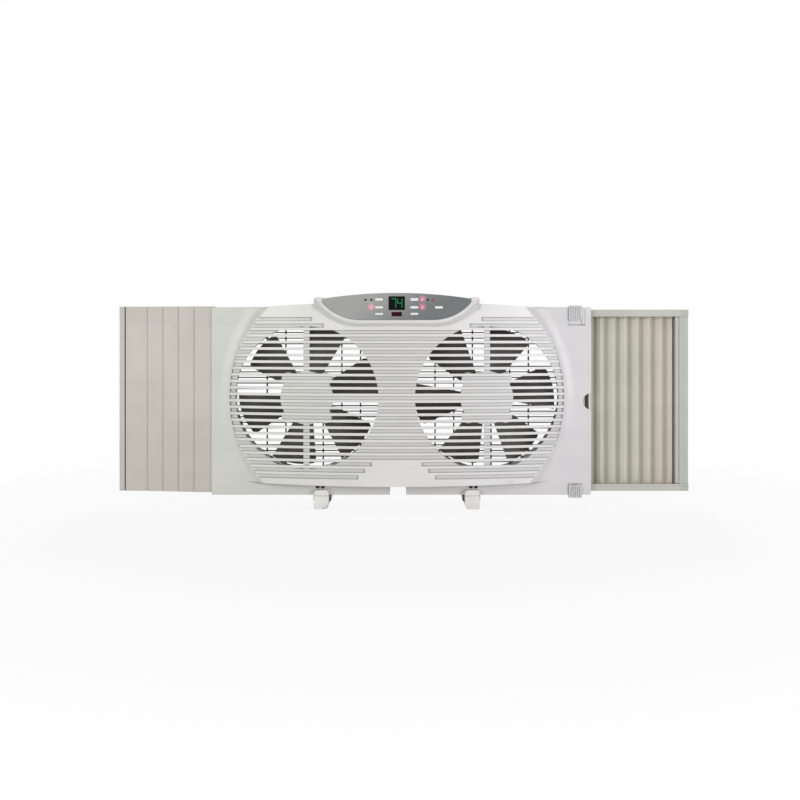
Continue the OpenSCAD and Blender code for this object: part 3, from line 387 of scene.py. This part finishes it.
@dataclass(frozen=True)
class Steel:
    """Plain rolled or turned steel.

    Args:
        name: the material's name.
        colour: reflected colour.
        roughness: mean roughness.
    """

    name: str
    colour: tuple[float, ...] = linear(190, 190, 194)
    roughness: float = 0.34

    def build(self) -> bpy.types.Material:
        """Makes the material."""
        material = bpy.data.materials.new(self.name)
        graph = Graph(material)
        rings = graph.noise(0.0006, 3.0, graph.place((1.0, 6.0, 1.0)))
        stain = graph.noise(0.02, 3.0).smooth(0.4, 0.8)
        colour = graph.blend(stain, self.colour, shade(self.colour, 0.72))
        shader = graph.wire(
            "ShaderNodeBsdfPrincipled",
            {},
            {
                "Base Color": colour,
                "Metallic": 1.0,
                "Roughness": self.roughness + rings * 0.12,
                "Normal": graph.bump(rings, 0.00001),
            },
        )
        graph.add("ShaderNodeOutputMaterial", {}, {"Surface": shader})
        return material


@dataclass(frozen=True)
class Glow:
    """A lit segment or lamp behind clear plastic.

    Args:
        name: the material's name.
        colour: colour of the plastic.
        light: colour of the light.
        strength: strength of the light.
        split: X from which on the far light shows.
        far: light beyond the split.
    """

    name: str
    colour: tuple[float, ...]
    light: tuple[float, ...]
    strength: float = 1.0
    split: float = 1.0
    far: tuple[float, ...] = BLACK

    def build(self) -> bpy.types.Material:
        """Makes the material."""
        material = bpy.data.materials.new(self.name)
        graph = Graph(material)
        grain = graph.noise(0.0008, 2.0)
        beyond = graph.axis("X").above(self.split)
        colour = graph.blend(beyond, self.colour, self.far)
        light = graph.blend(beyond, self.light, self.far)
        shader = graph.wire(
            "ShaderNodeBsdfPrincipled",
            {},
            {
                "Base Color": graph.blend(grain * 0.2, colour, BLACK),
                "Roughness": 0.25 + grain * 0.1,
                "Emission Color": graph.blend(grain * 0.15, light, BLACK),
                "Emission Strength": self.strength,
            },
        )
        graph.add("ShaderNodeOutputMaterial", {}, {"Surface": shader})
        return material


@dataclass(frozen=True)
class Board:
    """Circuit board with a faint pattern of tracks."""

    name: str = "board_green"
    colour: tuple[float, ...] = linear(24, 92, 52)

    def build(self) -> bpy.types.Material:
        """Makes the material."""
        material = bpy.data.materials.new(self.name)
        graph = Graph(material)
        tracks = graph.wire(
            "ShaderNodeTexVoronoi",
            {"feature": "DISTANCE_TO_EDGE", "distance": "CHEBYCHEV"},
            {"Vector": graph.place(), "Scale": 160.0},
            0,
        )
        copper = 1.0 - tracks.smooth(0.02, 0.05)
        shader = graph.wire(
            "ShaderNodeBsdfPrincipled",
            {},
            {
                "Base Color": graph.blend(copper, self.colour, linear(52, 130, 74)),
                "Roughness": 0.35,
                "Normal": graph.bump(copper, 0.00003),
            },
        )
        graph.add("ShaderNodeOutputMaterial", {}, {"Surface": shader})
        return material


class Finish(Enum):
    """The finishes of the fan, by use."""

    # Painted shade darkens the cover's grooves and its set-back flange.
    COVER = Plastic(
        "cover_white", linear(226, 226, 219), 0.4, 0.15, far_colour=linear(234, 232, 234),
        painted_back_shade=0.12, painted_crevice_shade=0.65, reach=0.007,
    )
    HOUSING = Plastic("housing_white", linear(222, 222, 214), 0.5, grain=0.0011, grain_depth=2e-5)
    # Painted shade darkens the joint lines between the slats.
    SLAT = Plastic("slat_white", linear(202, 197, 188), 0.46, painted_crevice_shade=0.8, reach=0.003, own=False)
    # Painted shade darkens the frame's corners and where it meets other pieces.
    FRAME = Plastic(
        "frame_white", linear(200, 199, 191), 0.46, far_colour=linear(188, 191, 183),
        drift=(0.442, 0.452), painted_crevice_shade=0.5, reach=0.003, own=False,
    )
    # Painted shade darkens the pleats' folds and the curtain's end inside the housing.
    CURTAIN = Plastic(
        "curtain_cream", linear(217, 218, 201), 0.55, grain=0.0016, grain_depth=3e-5,
        far_colour=linear(224, 215, 204), drift=(0.31, 0.44),
        painted_back_shade=0.52, back_axis="X", back=(0.3055, 0.3025), painted_crevice_shade=0.55, reach=0.011,
        own=False,
    )
    # Painted reflection and shade: the panel drifts from light grey at the left to dark grey at the
    # right and towards the bottom; painted shade darkens its edges and gaps, and painted glows
    # stand for the lit lamps' light.
    PANEL = Plastic(
        "panel_grey", linear(168, 168, 167), 0.38, 0.1, grain=0.0005, edge=0.0004,
        far_colour=linear(114, 119, 120), drift=(-0.488, -0.338), slant=1.3, painted_crevice_shade=0.6,
        reach=0.002, own=False,
        painted_glows=((-0.0388, 0.0, 0.3142), (0.0395, 0.0, 0.3262), (0.0395, 0.0, 0.3142)),
    )
    BLADE = Plastic("blade_grey", linear(97, 96, 91), 0.45, mottle=0.12, edge=0.0008)
    GRILLE = Plastic("grille_grey", linear(70, 69, 64), 0.5, mottle=0.12, edge=0.0004)
    BUTTON = Plastic("button_white", linear(238, 238, 236), 0.33, 0.3, mottle=0.02, edge=0.0005)
    FOOT = Plastic("foot_white", linear(239, 238, 233), 0.36, 0.2)
    SWIVEL = Plastic("swivel_grey", linear(84, 83, 78), 0.5, mottle=0.1)
    # Painted shade darkens the lock's recess and the gaps around it.
    LOCK = Plastic(
        "lock_grey", linear(210, 209, 211), 0.4, 0.1, edge=0.0004, painted_crevice_shade=0.85, reach=0.003,
        own=False,
    )
    RUBBER = Plastic("foot_rubber", linear(44, 44, 44), 0.75, grain=0.0009, grain_depth=4e-5)
    GLASS = Plastic("display_black", linear(10, 15, 12), 0.3, grain_depth=1e-6, index=1.2)
    SENSOR = Plastic("sensor_red", linear(56, 8, 15), 0.3, grain_depth=1e-6, index=1.2)
    LAMP_DARK = Plastic("lamp_dark", linear(30, 20, 22), 0.3, grain_depth=1e-6, index=1.2)
    LAMP_LIT = Glow(
        "lamp_lit", linear(236, 130, 160), linear(255, 130, 165), 0.8, 0.048, linear(150, 14, 40)
    )
    DIGIT = Glow("digit_green", linear(24, 110, 64), linear(40, 200, 110), 0.22)
    STEEL = Steel("plain_steel")
    SCREW = Steel("screw_steel", linear(170, 170, 172), 0.4)
    BOARD = Board()


class Wardrobe:
    """Makes each material once and puts it on pieces."""

    def __init__(self) -> None:
        """Starts with no materials."""
        self.made: dict[Finish, bpy.types.Material] = {}

    def take(self, finish: Finish) -> bpy.types.Material:
        """The material of a finish, made on first use."""
        if finish not in self.made:
            self.made[finish] = finish.value.build()
        return self.made[finish]

    def dress(self, piece: bpy.types.Object, finish: Finish) -> None:
        """Puts a finish on a piece, in all its slots.

        Args:
            piece: the piece.
            finish: the finish.
        """
        material = self.take(finish)
        if not piece.material_slots:
            piece.data.materials.append(material)
        for place in piece.material_slots:
            place.material = material


WARDROBE = Wardrobe()


# ---- Pieces ----------------------------------------------------------------------------------


def dress_nodes(finish: Finish, *names: str) -> None:
    """Puts a finish on solids that stay as they are.

    Args:
        finish: the finish.
        names: names of the solids.
    """
    for name in names:
        WARDROBE.dress(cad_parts[name], finish)
    LOG.info("%s: %s", finish.name.lower(), ", ".join(names))


def put(mesh: bmesh.types.BMesh, name: str, finish: Finish, body: str, slot: str,
        *replaced: str) -> bpy.types.Object:
    """Turns a finished mesh into a piece that rides on a body.

    Args:
        mesh: the mesh, which is used up.
        name: the piece's name.
        finish: its finish.
        body: the body that it rides on.
        slot: the record's material slot; not used.
        replaced: solids that it stands for.

    Returns:
        The piece.
    """
    data = bpy.data.meshes.new(name)
    mesh.to_mesh(data)
    mesh.free()
    for face in data.polygons:
        face.use_smooth = True
    data.set_sharp_from_angle(angle=SHADE_ANGLE)
    piece = bpy.data.objects.new(name, data)
    bpy.context.scene.collection.objects.link(piece)
    WARDROBE.dress(piece, finish)
    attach(piece, body)
    if replaced:
        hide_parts(*replaced)
    LOG.info("%s made, %d faces", name, len(data.polygons))
    return piece


def softened(node: str, finish: Finish, body: str, slot: str, radius: float,
             segments: int = 2) -> bpy.types.Object:
    """A copy of a solid with its sharp edges rounded.

    Args:
        node: name of the solid.
        finish: the copy's finish.
        body: the body that it rides on.
        slot: the record's material slot.
        radius: radius of the rounding.
        segments: faces across the rounding.

    Returns:
        The piece.
    """
    mesh = bmesh.new()
    mesh.from_mesh(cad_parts[node].data)
    bmesh.ops.remove_doubles(mesh, verts=mesh.verts, dist=MERGE_GAP)
    bmesh.ops.dissolve_limit(mesh, angle_limit=FLAT_ANGLE, verts=mesh.verts, edges=mesh.edges)
    sharp = [
        edge for edge in mesh.edges
        if len(edge.link_faces) == 2 and edge.calc_face_angle() > ROUND_ANGLE
    ]
    bmesh.ops.bevel(
        mesh, geom=sharp, offset=radius, offset_type="OFFSET", segments=segments, profile=0.5,
        affect="EDGES", clamp_overlap=True, material=-1,
    )
    return put(mesh, node + "_soft", finish, body, slot, node)


class Body:
    """Front cover, rear housing and what is fixed inside them."""

    def build(self) -> None:
        """Dresses the solids of the body."""
        dress_nodes(Finish.COVER, "front_cover")
        dress_nodes(Finish.HOUSING, "rear_housing", "upper_channel", "lower_channel",
                    "curtain_clamp")
        dress_nodes(Finish.GRILLE, "left_duct", "right_duct", "left_rear_grille",
                    "right_rear_grille", "cord_inlet")
        dress_nodes(Finish.SCREW, "housing_screws", "motor_screws", "foot_pins")


class Fans:
    """Blades, shafts, nuts and motors."""

    def build(self) -> None:
        """Dresses both fans."""
        for side in ("left", "right"):
            dress_nodes(Finish.BLADE, f"{side}_blades", f"{side}_blade_nut")
            dress_nodes(Finish.STEEL, f"{side}_motor", f"{side}_shaft")


@dataclass
class Controls:
    """Control box, panel, buttons and lamps.

    Args:
        buttons: the buttons' names, without their prefix.
    """

    buttons: tuple[str, ...] = (
        "left_top", "left_middle", "left_bottom", "right_top", "right_middle", "right_bottom",
        "far_right",
    )

    def build(self) -> None:
        """Dresses the controls and rounds the buttons."""
        dress_nodes(Finish.HOUSING, "control_box")
        dress_nodes(Finish.PANEL, "control_panel")
        dress_nodes(Finish.GLASS, "display_window", "key_switches")
        dress_nodes(Finish.DIGIT, "display_digits")
        dress_nodes(Finish.SENSOR, "sensor_window")
        dress_nodes(Finish.BOARD, "circuit_board")
        dress_nodes(Finish.LAMP_LIT, "lit_indicators")
        dress_nodes(Finish.LAMP_DARK, "dark_indicators")
        for name in self.buttons:
            softened(f"button_{name}", Finish.BUTTON, f"button_{name}_body", "buttons",
                     0.5 * MM, 3)


class LeftExpander:
    """Telescoping slats and their end stile."""

    def build(self) -> None:
        """Rounds the slats and the stile."""
        for number in range(1, 5):
            softened(f"slat_{number}", Finish.SLAT, f"slat_{number}_body", "slats", 0.3 * MM)
        softened("slat_5", Finish.SLAT, "left_end", "slats", 0.3 * MM)
        softened("left_stile", Finish.SLAT, "left_end", "slats", 0.8 * MM)


@dataclass
class RightExpander:
    """Frame and pleated curtain of the right expander.

    Args:
        pitch: width of one pleat.
        phase: share of a pleat at which the curtain starts.
        depth: depth of the pleats with the sheet.
        sheet: thickness of the sheet.
        columns: steps along the curtain.
        travel: how far the expander slides; not used.
    """

    pitch: float = 18.7 * MM
    phase: float = 0.075
    depth: float = 11.0 * MM
    sheet: float = 1.0 * MM
    columns: int = 240
    travel: float = 120 * MM

    def build(self) -> None:
        """Rounds the frame and folds the curtain."""
        for node in ("upper_rail", "lower_rail"):
            softened(node, Finish.FRAME, "right_frame", "slats", 0.5 * MM)
        softened("right_stile", Finish.FRAME, "right_frame", "slats", 1.0 * MM, 3)
        self.curtain()

    def curtain(self) -> None:
        """Folds a thin sheet into creased pleats where the solid one hangs."""
        low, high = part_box("pleated_curtain")
        middle, width = (low + high) / 2, high.x - low.x
        mesh = bmesh.new()
        bmesh.ops.create_grid(mesh, x_segments=self.columns, y_segments=6, size=0.5)
        swing = (self.depth - 1.4 * self.sheet) / 2
        for vert in mesh.verts:
            along, up = vert.co.x + 0.5, vert.co.y
            turn = 2 * math.pi * (along * width / self.pitch + self.phase)
            fold = (math.cos(turn) + math.cos(3 * turn) / 9 + math.cos(5 * turn) / 25) / 1.15
            vert.co = Vector((
                low.x + along * width,
                middle.y + fold * swing,
                middle.z + up * (high.z - low.z),
            ))
        bmesh.ops.recalc_face_normals(mesh, faces=mesh.faces)
        bmesh.ops.solidify(mesh, geom=mesh.faces, thickness=self.sheet)
        piece = put(mesh, "curtain_pleats", Finish.CURTAIN, HOUSING, "curtain",
                    "pleated_curtain")
        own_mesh(piece)


class Locks:
    """The two sliding locks at the right end."""

    def build(self) -> None:
        """Rounds the locks."""
        for name in ("upper_lock", "lower_lock"):
            softened(name, Finish.LOCK, f"{name}_body", "locks", 0.3 * MM)


class Feet:
    """Swinging feet with their brackets and pads."""

    def build(self) -> None:
        """Rounds the feet."""
        softened("foot_brackets", Finish.FOOT, HOUSING, "buttons", 0.8 * MM)
        for side in ("left", "right"):
            body = f"{side}_foot_body"
            softened(f"{side}_foot", Finish.FOOT, body, "buttons", 0.7 * MM)
            dress_nodes(Finish.SWIVEL, f"{side}_swivel")
            dress_nodes(Finish.RUBBER, f"{side}_foot_pads")


# ---- Studio ----------------------------------------------------------------------------------


@dataclass
class Studio:
    """Floor, lights and camera.

    Args:
        eye: where the camera stands.
        lens: its focal length in millimetres.
        shift_y: how far its picture is shifted down.
        floor_size: half the width of the floor.
        floor_white: how white the camera sees the floor, near the fan and far from it.
        floor_fade: distances from the middle over which that changes.
        sky_light: strength of the light from all round.
        aim: what the lights face.
    """

    eye: tuple[float, float, float] = (0.005, -1.430, 0.2635)
    lens: float = 40.909
    shift_y: float = -0.075
    floor_size: float = 12.0
    floor_white: tuple[float, float] = (0.88, 1.0)
    floor_fade: tuple[float, float] = (0.35, 1.1)
    sky_light: float = 0.45
    aim: tuple[float, float, float] = (0.0, 0.0, 0.17)

    def floor(self) -> None:
        """Lays a pale floor that shows white to the camera and keeps a soft shadow."""
        mesh = bmesh.new()
        bmesh.ops.create_grid(mesh, x_segments=1, y_segments=1, size=self.floor_size)
        data = bpy.data.meshes.new("floor")
        mesh.to_mesh(data)
        mesh.free()
        piece = bpy.data.objects.new("floor", data)
        bpy.context.scene.collection.objects.link(piece)
        material = bpy.data.materials.new("floor_pale")
        graph = Graph(material)
        seen = graph.wire("ShaderNodeLightPath", {}, {}, "Is Camera Ray")
        matt = graph.wire("ShaderNodeBsdfDiffuse", {}, {"Color": (0.9, 0.9, 0.9, 1)})
        white = graph.wire("ShaderNodeEmission", {}, {"Color": WHITE, "Strength": 1.0})
        reach = graph.wire(
            "ShaderNodeVectorMath", {"operation": "LENGTH"}, {0: graph.place()}, "Value"
        )
        near, far = self.floor_white
        share = seen * (near + (far - near) * reach.smooth(*self.floor_fade))
        mixed = graph.wire("ShaderNodeMixShader", {}, {0: share, 1: matt, 2: white})
        graph.add("ShaderNodeOutputMaterial", {}, {"Surface": mixed})
        data.materials.append(material)

    def world(self) -> None:
        """Soft light from all round, white to the camera and in reflections."""
        world = bpy.data.worlds.new("studio")
        bpy.context.scene.world = world
        graph = Graph(world)
        path = graph.add("ShaderNodeLightPath", {}, {})
        seen = Wire(graph, path.outputs["Is Camera Ray"])
        clear = Wire(graph, path.outputs["Is Transmission Ray"])
        glossy = Wire(graph, path.outputs["Is Glossy Ray"])
        strength = self.sky_light + (1.0 - self.sky_light) * (seen + clear) + 0.1 * glossy
        sky = graph.wire("ShaderNodeBackground", {}, {"Color": WHITE, "Strength": strength})
        graph.add("ShaderNodeOutputWorld", {}, {"Surface": sky})

    def lamp(self, name: str, place: tuple[float, float, float], size: float, power: float) -> None:
        """Adds a square soft light that faces the fan.

        Args:
            name: the light's name.
            place: where it stands.
            size: length of its side.
            power: its power in watts.
        """
        light = bpy.data.lights.new(name, "AREA")
        light.shape, light.size, light.energy = "SQUARE", size, power
        holder = bpy.data.objects.new(name, light)
        bpy.context.scene.collection.objects.link(holder)
        holder.location = place
        line = Vector(self.aim) - Vector(place)
        holder.rotation_euler = line.to_track_quat("-Z", "Y").to_euler()

    def camera(self) -> None:
        """Sets the camera where the photograph was taken from."""
        data = bpy.data.cameras.new("camera")
        data.lens, data.sensor_width, data.shift_y = self.lens, 36.0, self.shift_y
        holder = bpy.data.objects.new("camera", data)
        bpy.context.scene.collection.objects.link(holder)
        holder.location = self.eye
        holder.rotation_euler = (math.radians(90), 0.0, 0.0)
        bpy.context.scene.camera = holder

    def build(self) -> None:
        """Sets up the whole studio."""
        bpy.context.scene.view_settings.view_transform = "Standard"
        self.floor()
        self.world()
        self.lamp("key", (-2.3, -3.1, 1.05), 1.7, 42.0)
        self.lamp("fill", (2.3, -3.1, 0.6), 1.0, 40.0)
        self.lamp("back", (0.3, 2.2, 1.5), 1.6, 24.0)
        self.camera()


def main() -> None:
    """Builds the fan and its studio."""
    logging.basicConfig(level=logging.INFO)
    Studio().build()
    for part in (Body(), Fans(), Controls(), LeftExpander(), RightExpander(), Locks(), Feet()):
        part.build()
        LOG.info("%s built", type(part).__name__)


if __name__ == "__main__":
    main()
